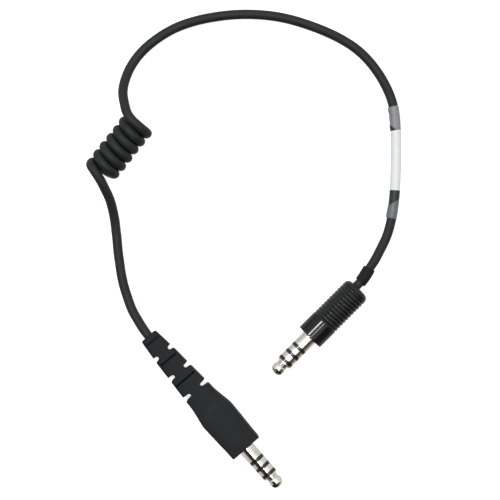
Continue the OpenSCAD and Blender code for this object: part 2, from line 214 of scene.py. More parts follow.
# ------------------------------------------------------------------ the cord's route
# The same points as the plain cord solids, in metres, and between them the turns of the curl.
LOWER = [(-0.046312, 0.021033, 0.0068), (-0.0479, 0.0231, 0.0065), (-0.0495, 0.0254, 0.0057), (-0.0514, 0.0284, 0.0046), (-0.0533, 0.0316, 0.0035), (-0.0547, 0.0348, 0.0027),
         (-0.0559, 0.0382, 0.0021), (-0.0570, 0.0416, 0.0020), (-0.0579, 0.0451, 0.0020), (-0.0587, 0.0493, 0.0020), (-0.0593, 0.0535, 0.0020), (-0.0599, 0.0580, 0.0020),
         (-0.0603, 0.0626, 0.0020), (-0.0608, 0.0672, 0.0022), (-0.0613, 0.0718, 0.0031), (-0.0621, 0.0764, 0.0049), (-0.0633, 0.0811, 0.0075), (-0.0651, 0.0853, 0.0101),
         (-0.0668, 0.0888, 0.0117)]
UPPER = [(-0.0564, 0.1217, 0.0101), (-0.0574, 0.1270, 0.0075), (-0.0568, 0.1326, 0.0048), (-0.0544, 0.1390, 0.0026), (-0.0498, 0.1455, 0.0020), (-0.0429, 0.1515, 0.0020),
         (-0.0350, 0.1562, 0.0020), (-0.0265, 0.1593, 0.0020), (-0.0170, 0.1613, 0.0020), (-0.0075, 0.1623, 0.0020), (0.0025, 0.1622, 0.0020), (0.0120, 0.1610, 0.0020),
         (0.0215, 0.1585, 0.0020), (0.0305, 0.1552, 0.0020), (0.0390, 0.1511, 0.0020), (0.0465, 0.1459, 0.0020), (0.0525, 0.1395, 0.0020), (0.0572, 0.1323, 0.0021),
         (0.0613, 0.1218, 0.0023), (0.0624, 0.1112, 0.0023), (0.0626, 0.1024, 0.0023), (0.0624, 0.0936, 0.0023), (0.0619, 0.0835, 0.0023), (0.0605, 0.0725, 0.0023),
         (0.0582, 0.0643, 0.0027), (0.0550, 0.0578, 0.0038), (0.0528, 0.0538, 0.0047), (0.0506, 0.0505, 0.0053), (0.0465, 0.0445, 0.0062), (0.0447, 0.0427, 0.00635),
         (0.037509, 0.035475, 0.00635)]
CURL_AT = (-58.81, 102.91, 7.4)
ALONG, ACROSS = np.array((0.62, 0.785, 0)), np.array((0.785, -0.62, 0))


def curl_point(across, along, z):
    return np.array((CURL_AT[0], CURL_AT[1], 0)) + across * ACROSS + along * ALONG + np.array((0, 0, z))


def curl_turn(phi):
    """A point on the curl. The turns go over the top bowed towards the lower end, as a stretched curly cord does."""
    a = math.radians(phi)
    k = phi / 360
    swell = 0.12 * math.sin(1.7 * k + 0.6)  # no two turns are quite the same size
    wander = 0.05 * math.sin(2.3 * k + 1.1)
    bow = 0.28 * math.sin(a) + 1.03 * math.hypot(math.sin(a), 0.3)
    r = 5.53 + swell
    return curl_point(-0.38 - r * math.cos(a), 15.33 - 4.53 * k + 0.1 * math.cos(a) - bow + wander, 7.4 + 5.28 * math.sin(a))


lower_lead = [(-68.6, 91.75, 12.35), (-70.2, 94.1, 11.8), (-71.2, 95.75, 9.9)]
turns = [curl_turn(phi) for phi in range(2145, 179, -15)]
upper_lead = [curl_point(4.0, 12.75, 11.0), curl_point(0.8, 12.85, 12.7), curl_point(-3.0, 13.1, 12.85), curl_point(-6.7, 14.2, 12.05)]

route = [np.array(p) * 1000 for p in LOWER] + [np.array(p, float) for p in lower_lead] + turns + upper_lead + [np.array(p) * 1000 for p in UPPER]
SPLIT_1, SPLIT_2 = len(LOWER) - 1, len(LOWER) + len(lower_lead) + len(turns) + len(upper_lead)


class Path:
    """The smooth curve through the route, and places on it by length."""

    def __init__(self, points, first, last):
        p = self.p = np.array(points, float)
        n = len(p)
        h = self.h = np.linalg.norm(np.diff(p, axis=0), axis=1)
        m, rhs = np.zeros((n, n)), np.zeros((n, 3))
        slope = np.diff(p, axis=0) / h[:, None]
        for i in range(1, n - 1):
            m[i, i - 1], m[i, i], m[i, i + 1] = h[i - 1], 2 * (h[i - 1] + h[i]), h[i]
            rhs[i] = 6 * (slope[i] - slope[i - 1])
        m[0, 0], m[0, 1], rhs[0] = 2 * h[0], h[0], 6 * (slope[0] - np.array(first))
        m[-1, -1], m[-1, -2], rhs[-1] = 2 * h[-1], h[-1], 6 * (np.array(last) - slope[-1])
        self.m = np.linalg.solve(m, rhs)
        self.t = np.concatenate([[0], np.cumsum(h)])
        self.fine = np.unique(np.concatenate([np.linspace(0, self.t[-1], 24001), self.t]))
        self.length = np.concatenate([[0], np.cumsum(np.linalg.norm(np.diff(self.at_t(self.fine)[0], axis=0), axis=1))])

    def at_t(self, t):
        i = np.clip(np.searchsorted(self.t, t, "right") - 1, 0, len(self.h) - 1)
        h, a, b = self.h[i][:, None], (self.t[i + 1] - t)[:, None], (t - self.t[i])[:, None]
        m0, m1, p0, p1 = self.m[i], self.m[i + 1], self.p[i], self.p[i + 1]
        x = m0 * a ** 3 / (6 * h) + m1 * b ** 3 / (6 * h) + (p0 / h - m0 * h / 6) * a + (p1 / h - m1 * h / 6) * b
        d = -m0 * a ** 2 / (2 * h) + m1 * b ** 2 / (2 * h) - (p0 / h - m0 * h / 6) + (p1 / h - m1 * h / 6)
        return x, d / np.linalg.norm(d, axis=1)[:, None]

    def at(self, s):
        return self.at_t(np.interp(s, self.length, self.fine))

    def length_of(self, k):
        return float(np.interp(self.t[k], self.fine, self.length))

    def nearest(self, point):
        x = self.at_t(self.fine)[0]
        return float(self.length[np.argmin(np.linalg.norm(x - np.array(point), axis=1))])


ha, hb = math.radians(A_HEAD), math.radians(B_HEAD)
path = Path(route, (-math.cos(ha), -math.sin(ha), 0), (math.cos(hb), math.sin(hb), 0))
S1, S2, S3 = path.length_of(SPLIT_1), path.length_of(SPLIT_2), float(path.length[-1])


def stations(a, b, step):
    return np.linspace(a, b, max(2, int(round((b - a) / step)) + 1))


parts = [stations(0, S1, 0.6), stations(S1, S2, 0.5), stations(S2, S3, 0.6)]
everywhere = np.concatenate([parts[0], parts[1][1:], parts[2][1:]])
centre, tangent = path.at(everywhere)
# side vectors carried along the route without twist
side = np.zeros_like(centre)
side[0] = np.cross(tangent[0], (0, 0, 1.0))
side[0] /= np.linalg.norm(side[0])
for i in range(1, len(centre)):
    v = side[i - 1] - tangent[i] * (side[i - 1] @ tangent[i])
    side[i] = v / np.linalg.norm(v)
lift = np.cross(side, tangent)
SIDES = 32
COLLAR_A, COLLAR_B = path.nearest((50.6, 50.5, 5.3)), path.nearest((46.5, 44.5, 6.2))


def eased(w):
    w = np.clip(w, 0, 1)
    return w * w * (3 - 2 * w)


def cord_radius(s):
    """The cord is a touch fuller than where it enters the two plugs."""
    return CORD_R + 0.1 * eased(np.minimum(s / 4, (COLLAR_A - s) / 5))


# a fuller cord lies that much higher, except in the curl and its run-ins, which have their own height
beside_curl = eased(np.minimum((everywhere - S1 + 24) / 22, (S2 + 30 - everywhere) / 26))
centre[:, 2] += (cord_radius(everywhere) - CORD_R) * (1 - beside_curl)
centre[:, 2] = np.maximum(centre[:, 2], cord_radius(everywhere))


def cord_mesh(name, first, last):
    """A round cord along stations first to last, closed flat at both ends."""
    n = last - first + 1
    angle = np.arange(SIDES) * 2 * math.pi / SIDES
    ring = np.cos(angle)[None, :, None] * side[first:last + 1, None, :] + np.sin(angle)[None, :, None] * lift[first:last + 1, None, :]
    verts = (centre[first:last + 1, None, :] + cord_radius(everywhere[first:last + 1])[:, None, None] * ring).reshape(-1, 3)
    i, k = np.meshgrid(np.arange(n - 1), np.arange(SIDES), indexing="ij")
    a, b = (i * SIDES + k).ravel(), (i * SIDES + (k + 1) % SIDES).ravel()
    faces = np.stack([a, a + SIDES, b + SIDES, b], 1).tolist()
    faces += [list(range(SIDES)), list(range(n * SIDES - 1, (n - 1) * SIDES - 1, -1))]
    obj = mesh_object(name, verts, faces, sharp=60, fix_normals=True)
    # where each point would lie on the cord pulled straight, for the finish
    straight = np.zeros((n, SIDES, 3))
    straight[:, :, 0], straight[:, :, 1] = CORD_R * np.cos(angle) * MM, CORD_R * np.sin(angle) * MM
    straight[:, :, 2] = everywhere[first:last + 1, None] * MM
    obj.data.attributes.new("straight", "FLOAT_VECTOR", "POINT").data.foreach_set("vector", straight.ravel().astype(np.float32))
    return obj


n0, n1, n2 = (len(p) for p in parts)
spans = [(0, n0 - 1), (n0 - 1, n0 + n1 - 2), (n0 + n1 - 2, n0 + n1 + n2 - 3)]
lower_cord = cord_mesh("cord_to_curl", *spans[0])
curl_cord = cord_mesh("cord_curl", *spans[1])
upper_cord = cord_mesh("cord_from_curl", *spans[2])


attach(lower_cord, "moulded_end")
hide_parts("cord_lower")
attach(upper_cord, "far_end")
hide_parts("cord_upper")
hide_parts("cord_coil")
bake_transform(curl_cord)

# ------------------------------------------------------------------ pieces on the cord
def upright(s):
    """Centre, direction, a level side vector (to the left where the cord runs down the right side) and an upward one."""
    c, t = path.at(s)
    g = np.cross(t, (0, 0, 1.0))
    g /= np.linalg.norm(g, axis=1)[:, None]
    return c, t, g, np.cross(g, t)


LABEL_A, LABEL_B = path.nearest((61.3, 121.8, 2.3)), path.nearest((60.5, 72.5, 2.3))
# ends of the zones from the upper end: film, white panel, clear window, film
ZONES = [0.0, 10.6, 37.0, 42.3, LABEL_B - LABEL_A]


def label_piece():
    near = np.array([-0.5, -0.36, -0.26, -0.18, -0.12, -0.075, -0.045, -0.02, 0, 0.02, 0.045, 0.075, 0.12, 0.18, 0.26, 0.36, 0.5])
    theta = np.concatenate([near, np.linspace(0.5, 2 * math.pi - 0.5, 40)[1:-1]])
    lines = []
    for a, b in zip(ZONES[:-1], ZONES[1:]):
        lines += list(stations(a, b, 0.3)[:-1])
    lines = np.array(lines + [ZONES[-1]])
    c, t, g, u = upright(LABEL_A + lines)
    n, m = len(lines), len(theta)
    on_film = np.where(lines < 10.4, 1.0, np.where(lines < 37.2, 0.35, np.where(lines < 43.0, 0.25, 1.0)))
    on_film = np.convolve(np.pad(on_film, 4, mode="edge"), np.ones(9) / 9, "valid")
    flap = 0.40 * on_film[:, None] * np.exp(-(theta / 0.055) ** 2)[None, :] * (1 + 0.25 * np.sin(lines * 1.3) * np.sin(lines * 0.37 + 1))[:, None]
    turn = np.mod(theta, 2 * math.pi)[None, :]
    wrap = 2.21 + 0.045 * (turn / (2 * math.pi)) + 0.012 * np.sin(3 * turn + 0.5 * lines[:, None]) * np.sin(0.45 * lines)[:, None]
    c = c + np.array((0, 0, cord_radius(LABEL_A + 20) - CORD_R))
    end = np.minimum(lines, lines[-1] - lines)
    outer = wrap + flap - 0.05 * np.exp(-end / 0.25)[:, None]
    slant = 1.6 * np.exp(-((lines - ZONES[3]) / 2.6) ** 2) + 0.22 * np.exp(-((lines - ZONES[1]) / 1.5) ** 2)
    verts = []
    for radius in (outer, np.full((n, m), 2.115)):
        ring = np.cos(theta)[None, :, None] * g[:, None, :] + np.sin(theta)[None, :, None] * u[:, None, :]
        verts.append((c[:, None, :] + radius[:, :, None] * ring + (slant[:, None] * np.cos(theta)[None, :])[:, :, None] * t[:, None, :]).reshape(-1, 3))
    faces, kind = [], []
    o = n * m
    for i in range(n - 1):
        zone = sum(lines[i] >= z - 1e-6 for z in ZONES[1:-1])
        for k in range(m):
            q = (k + 1) % m
            faces.append([i * m + k, i * m + q, (i + 1) * m + q, (i + 1) * m + k])
            # a corner of the film lies clear on the cord just above the panel
            clear = zone == 0 and -0.3 < theta[k] < 1.7 and lines[i] > 8.3 + 2.2 * (1 - math.cos(theta[k]))
            kind.append(2 if clear else zone)
            faces.append([o + i * m + q, o + i * m + k, o + (i + 1) * m + k, o + (i + 1) * m + q])
            kind.append(zone)
    for k in range(m):
        q = (k + 1) % m
        faces.append([k, o + k, o + q, q])
        kind.append(0)
        r = (n - 1) * m
        faces.append([r + q, o + r + q, o + r + k, r + k])
        kind.append(3)
    obj = mesh_object("cord_label_wrap", np.vstack(verts), faces, sharp=50, fix_normals=False)
    obj.data.polygons.foreach_set("material_index", np.array(kind, np.int32))
    bm = bmesh.new()
    bm.from_mesh(obj.data)
    bmesh.ops.recalc_face_normals(bm, faces=bm.faces)
    bm.to_mesh(obj.data)
    bm.free()
    straight = np.zeros((2, n, m, 3))
    straight[..., 0], straight[..., 1] = 2.2 * np.cos(theta) * MM, 2.2 * np.sin(theta) * MM
    straight[..., 2] = lines[None, :, None] * MM
    obj.data.attributes.new("straight", "FLOAT_VECTOR", "POINT").data.foreach_set("vector", straight.ravel().astype(np.float32))
    return obj


def collar_piece():
    """A short length of shrunk tube, its cut ends a little slanted and drawn in."""
    length = COLLAR_B - COLLAR_A
    lines = np.concatenate([[0, 0.05, 0.12, 0.22, 0.36], np.arange(0.6, length - 0.5, 0.3), length - np.array([0.36, 0.22, 0.12, 0.05, 0])])
    c, t, g, u = upright(COLLAR_A + lines)
    theta = np.arange(56) * 2 * math.pi / 56
    n, m = len(lines), len(theta)
    end = np.minimum(lines, length - lines)
    outer = 2.72 - 0.16 * np.exp(-end / 0.09) - 0.05 * np.exp(-end / 0.8)
    outer = outer[:, None] + 0.018 * np.sin(2 * theta[None, :] + 0.9 * lines[:, None]) + 0.012 * np.sin(5 * theta + 1)[None, :]
    slant = (0.22 * (1 - 2 * lines / length))[:, None] * np.cos(theta - 0.6)[None, :]
    verts = []
    for radius in (outer, np.full((n, m), 2.02)):
        ring = np.cos(theta)[None, :, None] * g[:, None, :] + np.sin(theta)[None, :, None] * u[:, None, :]
        verts.append((c[:, None, :] + radius[:, :, None] * ring + slant[:, :, None] * t[:, None, :]).reshape(-1, 3))
    faces, o = [], n * m
    for i in range(n - 1):
        for k in range(m):
            q = (k + 1) % m
            faces.append([i * m + k, i * m + q, (i + 1) * m + q, (i + 1) * m + k])
            faces.append([o + i * m + q, o + i * m + k, o + (i + 1) * m + k, o + (i + 1) * m + q])
    for k in range(m):
        q, r = (k + 1) % m, (n - 1) * m
        faces += [[k, o + k, o + q, q], [r + q, o + r + q, o + r + k, r + k]]
    return mesh_object("shrink_collar_tube", np.vstack(verts), faces, sharp=50, fix_normals=True)


label = label_piece()
collar = collar_piece()
for piece, node in ((label, "cord_label"), (collar, "shrink_collar")):
    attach(piece, "far_end")
    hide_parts(node)
for piece, a, b, exit_at, k, on_it in ((lower_cord, 0, S1, route[0], 0, ()), (curl_cord, S1, S2, path.at(np.array([S1]))[0][0], 1, ()),
                                       (upper_cord, S2, S3, path.at(np.array([S2]))[0][0], 2, (label, collar))):
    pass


# ------------------------------------------------------------------ moulded grip and strain relief
def profile(table):
    """A smooth half width or half height at each station."""
    z = np.arange(-70, 4.001, 0.05)
    v = np.interp(z, [p[0] for p in table], [p[1] for p in table])
    kernel = np.exp(-0.5 * (np.arange(-40, 41) * 0.05 / 0.6) ** 2)
    v = np.convolve(np.pad(v, 40, mode="edge"), kernel / kernel.sum(), "valid")
    return lambda at: np.interp(at, z, v)


half_width = profile([(-66, 3.85), (-64.3, 4.0), (-56.2, 4.75), (-54.5, 5.0), (-45.6, 5.45), (-43.8, 5.6), (-34.9, 6.15), (-32.9, 6.3), (-28.6, 6.5),
                      (-24.5, 7.1), (-21.5, 7.65), (-19.3, 7.93), (-16.5, 7.85), (-10, 7.6), (-5, 7.37), (-0.5, 7.3), (2, 7.3)])
half_height = profile([(-66, 3.6), (-64.3, 3.7), (-54.5, 4.4), (-43.8, 5.0), (-32.9, 5.6), (-28.6, 5.8), (-24, 6.3), (-21, 6.7), (-19.5, 6.8), (2, 6.8)])


def smax(a, b, k):
    """The larger of two, rounded over a width k where they meet."""
    d = np.maximum(k - np.abs(a - b), 0)
    return np.maximum(a, b) + d * d / (4 * k)


def grip_field(x, y, z):
    """Below 0 inside the overmoulding. Local mm: x down, y across, z towards the tip."""
    w, h = half_width(z), half_height(z)
    ay, ax, rho = np.abs(y), np.abs(x), np.hypot(x, y)
    line = 0.05 * np.exp(-(x / 0.2) ** 2)  # where the two halves of the mould met
    top = h - np.where(x < 0, 0.45 * np.minimum(1, (y / w) ** 2), 0)  # the top is a little crowned
    body = smax(ay - w - line, ax - top, 0.5)
    body = smax(body, rho - (1.26 + 0.07 * np.clip((z + 14) / 9, 0, 1)) * w - line, 0.6)
    body = smax(body, -65.3 - z, 1.0)
    body = smax(body, z + 0.011 * x * x, 0.22)
    # side notches, round at the bottom and flared outwards
    for at in (-55.3, -44.7, -33.9):
        dz = z - at
        flare = 0.85 + 0.45 * np.clip((ay - 3.5) / 5.5, 0, 1)
        cut = np.where(ay > 3.5, np.abs(dz) - flare, np.hypot(ay - 3.5, dz) - 0.85)
        near = 0.28 + (0.14 if at > -40 else 0.6) * np.clip(dz / 0.6 + 0.5, 0, 1)
        body = smax(body, -cut, near)
    # slots in the top and the underside
    for at, half in ((-62.3, 3.6), (-51.7, 4.25), (-40.5, 5.1)):
        cut = np.maximum(np.maximum(np.abs(z - at) - 0.36, ay - half), 2.65 - ax)
        body = smax(body, -cut, 0.22)
    # the bare oval pad let into the top
    oval = np.hypot(np.maximum(np.abs(z + 14.6) - 5.5, 0), y) - 4.5
    cut = smax((oval + 0.7 * (x + 6.5)) * 0.82, x + 6.5, 0.12)
    body = smax(body, -cut, 0.25)
    # hollow for the inner mould, the cord and the sleeve
    hollow = np.maximum(np.maximum(rho - 5.21, -22.01 - z), z + 1.49)
    hollow = np.minimum(hollow, np.maximum(np.maximum((rho - (3.01 + 0.44 * (z + 27))) * 0.915, -27.01 - z), z + 21.9))
    hollow = np.minimum(hollow, np.maximum(rho - 2.01, z + 26.9))
    hollow = np.minimum(hollow, np.maximum(rho - 3.31, -1.6 - z))
    return np.maximum(body, -hollow)


def surface_net(field, low, high, step):
    """A quad mesh on the field's zero surface, its points then moved exactly onto it."""
    axes = [np.arange(a, b + step, step, dtype=np.float32) for a, b in zip(low, high)]
    shape = tuple(len(a) for a in axes)
    value = np.empty(shape, np.float32)
    for i, x in enumerate(axes[0]):
        value[i] = field(np.float32(x), axes[1][:, None], axes[2][None, :])
    inside = value < 0
    cells = tuple(n - 1 for n in shape)
    total, count = np.zeros(cells + (3,), np.float32), np.zeros(cells, np.uint8)
    cross = []
    for a in range(3):
        first, second = [slice(None)] * 3, [slice(None)] * 3
        first[a], second[a] = slice(0, -1), slice(1, None)
        v0, v1 = value[tuple(first)], value[tuple(second)]
        hit = inside[tuple(first)] != inside[tuple(second)]
        cross.append(hit)
        at = np.argwhere(hit)
        t = v0[hit] / (v0[hit] - v1[hit])
        others = [b for b in range(3) if b != a]
        for p in (0, 1):
            for q in (0, 1):
                cell = at.copy()
                cell[:, others[0]] -= p
                cell[:, others[1]] -= q
                ok = (cell >= 0).all(1) & (cell < np.array(cells)).all(1)
                c = cell[ok]
                local = np.zeros((len(c), 3), np.float32)
                local[:, a] = t[ok]
                local[:, others[0]], local[:, others[1]] = p, q
                np.add.at(total, tuple(c.T), local)
                np.add.at(count, tuple(c.T), 1)
    used = count > 0
    number = np.full(cells, -1, np.int64)
    number[used] = np.arange(used.sum())
    where = np.argwhere(used)
    verts = (where + total[used] / count[used][:, None]) * step + np.array([a[0] for a in axes])
    faces = []
    for a in range(3):
        b, c = [(1, 2), (2, 0), (0, 1)][a]
        at = np.argwhere(cross[a])
        ok = (at[:, b] > 0) & (at[:, c] > 0) & (at[:, b] < cells[b]) & (at[:, c] < cells[c])
        at = at[ok]
        flip = inside[tuple(at.T)]
        quad = []
        for p, q in ((1, 1), (0, 1), (0, 0), (1, 0)):
            cell = at.copy()
            cell[:, b] -= p
            cell[:, c] -= q
            quad.append(number[tuple(cell.T)])
        quad = np.stack(quad, 1)
        quad[~flip] = quad[~flip][:, ::-1]
        faces.append(quad)
    faces = np.vstack(faces)
    e = 0.01
    for _ in range(4):
        x, y, z = verts.T
        d = field(x, y, z)
        g = np.stack([field(x + e, y, z) - field(x - e, y, z), field(x, y + e, z) - field(x, y - e, z), field(x, y, z + e) - field(x, y, z - e)], 1) / (2 * e)
        move = -(d / np.maximum((g * g).sum(1), 0.2))[:, None] * g
        size = np.linalg.norm(move, axis=1)[:, None]
        verts = verts + move * np.minimum(1, 0.35 * step / np.maximum(size, 1e-9))
    return verts, faces


step = 0.18
verts, faces = surface_net(grip_field, (-7.4, -8.6, -66.1), (7.4, 8.6, 0.6), step)
grip = mesh_object("moulded_grip_shell", verts, faces, PLUG_A, sharp=None)
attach(grip, "moulded_end")
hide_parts("moulded_grip")


# ------------------------------------------------------------------ contacts
def lug(name, r_in, z_rear, angle, matrix, length=3.5, width=1.6):
    a = math.radians(angle)
    turn = matrix @ Matrix.Rotation(a, 4, "Z")
    return prism(name, [(-width / 2, z_rear - length), (width / 2, z_rear - length), (width / 2, z_rear + 0.2), (-width / 2, z_rear + 0.2)], r_in + 0.05, r_in + 0.55, turn)


def ring_contact(name, k, z_rear, angle, matrix):
    r_in, r_out, z = R_INS[k + 1], R_TUBE[k], Z_RING[k]
    outline = [(r_in, z_rear), (r_out, z_rear), (r_out, z), (SHANK_R - 0.07, z), (SHANK_R, z + 0.07), (SHANK_R, z + 2.43), (SHANK_R - 0.07, z + 2.5), (r_in, z + 2.5)]
    obj = turned(name, rounded(outline, 0.05, True, 3), matrix, True)
    return join_solids(obj, lug(name + "_tail", r_in, z_rear, angle, matrix))


def tip_contact(name, matrix):
    nose = [(SHANK_R, 0.55), (3.4, 0.68), (2.9, 0.86), (2.5, 1.04), (2.38, 1.22), (2.46, 1.4), (2.62, 1.55), (2.66, 1.7), (2.56, 1.86), (2.4, 2.0), (2.38, 2.14), (2.52, 2.36),
            (2.74, 2.75), (2.88, 3.25), (2.93, 3.8), (2.91, 4.4), (2.8, 4.95), (2.56, 5.46), (2.2, 5.92), (1.66, 6.3), (0.9, 6.53), (0, 6.6)]
    start = rounded([(0, -15.5), (R_ROD, -15.5), (R_ROD, Z_TIP), (SHANK_R - 0.09, Z_TIP), (SHANK_R, Z_TIP + 0.09), (SHANK_R, Z_TIP + 0.3)], 0.06, False, 3)
    curve = [(max(0.0, r), Z_TIP + z) for r, z in smooth_line([(SHANK_R, 0.45)] + nose, 6)]
    curve[-1] = (0.0, Z_END)
    return turned(name, list(start) + curve, matrix, False, segments=128)


def insulator(name, k, z_rear, matrix):
    r_in = (R_TUBE[0], R_TUBE[1], R_ROD)[k]
    z = Z_BAND[k]
    outline = [(r_in, z_rear), (R_INS[k], z_rear), (R_INS[k], z), (BAND_R, z), (BAND_R, z + 1.5), (r_in, z + 1.5)]
    return turned(name, rounded(outline, 0.03, True, 2), matrix, True)


metal_pieces, band_pieces = [], []
for tag, matrix, body in (("a", PLUG_A, "moulded_end"), ("b", PLUG_B, "plug_core")):
    found = [(ring_contact("ring_contact_1_" + tag, 0, -10, 60, matrix), "ring_1_" + tag), (ring_contact("ring_contact_2_" + tag, 1, -12, 300, matrix), "ring_2_" + tag),
             (tip_contact("tip_contact_" + tag, matrix), "tip_" + tag)]
    bands = [(insulator(f"band_{k + 1}_{tag}", k, (-9, -11, -13)[k], matrix), f"insulator_{k + 1}_{tag}") for k in range(3)]
    for piece, node in found + bands:
        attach(piece, body)
        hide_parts(node)
    metal_pieces += [p for p, _ in found]
    band_pieces += [p for p, _ in bands]

outline = [(2.6, -8), (3.3, -8), (3.3, -3.6), (5, -3.6), (5, -2.4), (3.3, -2.4), (3.3, 0), (SHANK_R, 0), (SHANK_R, 5.83), (SHANK_R - 0.07, 5.9), (2.6, 5.9)]
sleeve_a = turned("sleeve_contact_a", rounded(outline, 0.05, True, 3), PLUG_A, True)
join_solids(sleeve_a, prism("sleeve_tail", [(-1, -14), (1, -14), (1, -7.8), (-1, -7.8)], 2.65, 3.15, PLUG_A @ Matrix.Rotation(math.pi, 4, "Z")))
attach(sleeve_a, "moulded_end")
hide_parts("sleeve_a")
metal_pieces.append(sleeve_a)


# ------------------------------------------------------------------ screw handle and plug body
def thread_depth(z, angle, first, last):
    """0 at the crest and 1 at the root of a right-hand thread of 1 mm pitch, fading out at both ends."""
    u = np.mod(z - angle / (2 * math.pi), 1.0)
    wave = 1 - np.clip(np.abs(u - 0.5) / 0.5 * 1.5 - 0.25, 0, 1)
    fade = np.clip((z - first) / 0.6, 0, 1) * np.clip((last - z) / 0.6, 0, 1)
    return wave * fade


def handle_piece():
    outside = [(3.6, -29.95), (3.85, -30.2)] + smooth_line([(4.1, -30.2), (4.62, -30.08), (5.1, -29.82), (5.6, -29.4), (5.95, -28.9), (6.15, -28.4), (6.22, -28.0)], 4)
    z0 = -27.5
    for z in np.arange(z0 - 0.3, z0 + 11 * 1.66 - 0.05, 0.09):
        u = (z - z0) / 1.66
        crest = (0.5 + 0.5 * math.cos(2 * math.pi * (u - 0.15))) ** 0.5
        rise = min(1, max(0, (u + 0.25) / 0.25))
        outside.append((6.0 + 0.35 * crest * rise + 0.0 * u, z))
    end = outside[-1][1]
    outside += [(6.30, end + 0.15), (6.345, end + 0.3), (6.35, end + 0.6), (6.35, -5), (6.35, -0.34), (6.3, -0.16), (6.18, -0.06), (5.98, 0.0), (5.3, 0.0), (5.12, -0.12), (5.06, -0.3), (5.06, -0.9)]
    bore = [(5.06, z) for z in np.arange(-1.0, -7.55, -0.08)]
    inside = [(5.06, -7.6), (4.7, -7.62), (4.7, -26.5), (3.6, -28.2)]
    lines = outside + bore + inside
    first, last = len(outside), len(outside) + len(bore)

    def radius_at(k, r, z, angle):
        return r + 0.3 * thread_depth(z, angle, -7.5, -1.0) if first <= k < last else np.full(len(angle), r)

    return turned("screw_handle_shell", lines, PLUG_B, True, segments=144, radius_at=radius_at, sharp=35)


handle = handle_piece()
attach(handle, "screw_handle")
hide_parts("handle")


def plug_body_piece():
    rear = rounded([(2.6, -6.5), (4.6, -6.5), (4.98, -6.1)], 0.05, False, 2)
    boss = [(5.0, z) for z in np.arange(-6.0, -0.75, 0.08)]
    front = rounded([(5.0, -0.7), (5.0, -0.35), (3.95, -0.35), (3.95, 0.2), (3.8, 0.35), (SHANK_R, 0.35), (SHANK_R, 5.83), (SHANK_R - 0.07, 5.9), (2.6, 5.9)], 0.05, False, 3)
    lines = list(rear) + boss + list(front)
    first, last = len(rear), len(rear) + len(boss)

    def radius_at(k, r, z, angle):
        return r - 0.4 * thread_depth(z + 0.02, angle, -6.1, -0.8) if first <= k < last else np.full(len(angle), r)

    body = turned("plug_body_turned", lines, PLUG_B, True, segments=128, radius_at=radius_at, sharp=35)
    strip = [(3.3, -6.2), (3.8, -6.2), (3.8, -15.6), (1.73, -17.8), (1.73, -23.5), (1.23, -23.5), (1.23, -18.05), (3.3, -15.85)]
    return join_solids(body, prism("ground_tail", strip, -1.2, 1.2, PLUG_B))


plug_body = plug_body_piece()
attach(plug_body, "plug_core")
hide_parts("plug_body_b")
metal_pieces.append(plug_body)


# ------------------------------------------------------------------ conductors of the screw handle plug
def conductor(name, node, start, end, bend, radius, strands=0):
    """A wire from the jacket's end to its tail, bending over between two stations."""
    z = np.linspace(start[2], end[2], 33)
    v = np.clip((z - bend[0]) / (bend[1] - bend[0]), 0, 1)
    v = v * v * (3 - 2 * v)
    line = np.stack([start[0] + v * (end[0] - start[0]), start[1] + v * (end[1] - start[1]), z], 1)
    along = np.gradient(line, axis=0)
    along /= np.linalg.norm(along, axis=1)[:, None]
    a = np.array((1.0, 0, 0)) - along * along[:, :1]
    a /= np.linalg.norm(a, axis=1)[:, None]
    b = np.cross(along, a)
    m = 24
    angle = np.arange(m) * 2 * math.pi / m
    end_gap = np.minimum(z - start[2], end[2] - z)
    r = (radius * (1 - 0.12 * np.exp(-end_gap / 0.05)))[:, None] * (1 + (0.05 * np.cos(strands * angle[None, :] + 4 * z[:, None]) if strands else 0))
    r = np.broadcast_to(r, (len(z), m))
    verts = (line[:, None, :] + r[:, :, None] * (np.cos(angle)[None, :, None] * a[:, None, :] + np.sin(angle)[None, :, None] * b[:, None, :])).reshape(-1, 3)
    faces = [[i * m + k, i * m + (k + 1) % m, (i + 1) * m + (k + 1) % m, (i + 1) * m + k] for i in range(len(z) - 1) for k in range(m)]
    faces += [list(range(m)), list(range(len(z) * m - 1, (len(z) - 1) * m - 1, -1))]
    obj = mesh_object(name, verts, faces, PLUG_B, sharp=60, fix_normals=True)
    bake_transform(obj)
    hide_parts(node)
    return obj


JACKET_Z, JACKET_Y = -19.98, -1.32
starts = [(0.9 * math.cos(math.radians(90 * k + 60)), 0.9 * math.sin(math.radians(90 * k + 60)) + JACKET_Y, JACKET_Z) for k in range(4)]
conductors = {
    "wire_sleeve_b": conductor("conductor_sleeve_b", "wire_sleeve_b", starts[1], (-0.5, 0.64, -18.2), (-19.9, -18.4), 0.42, 7),
    "wire_ring_1_b": conductor("conductor_ring_1_b", "wire_ring_1_b", starts[0], (1.075, 1.862, -13.6), (-18.2, -13.9), 0.46),
    "wire_ring_2_b": conductor("conductor_ring_2_b", "wire_ring_2_b", starts[3], (0.75, -1.299, -15.6), (-19.0, -16.0), 0.46),
    "wire_tip_b": conductor("conductor_tip_b", "wire_tip_b", starts[2], (0.0, 0.0, -15.6), (-18.4, -15.9), 0.46),
}

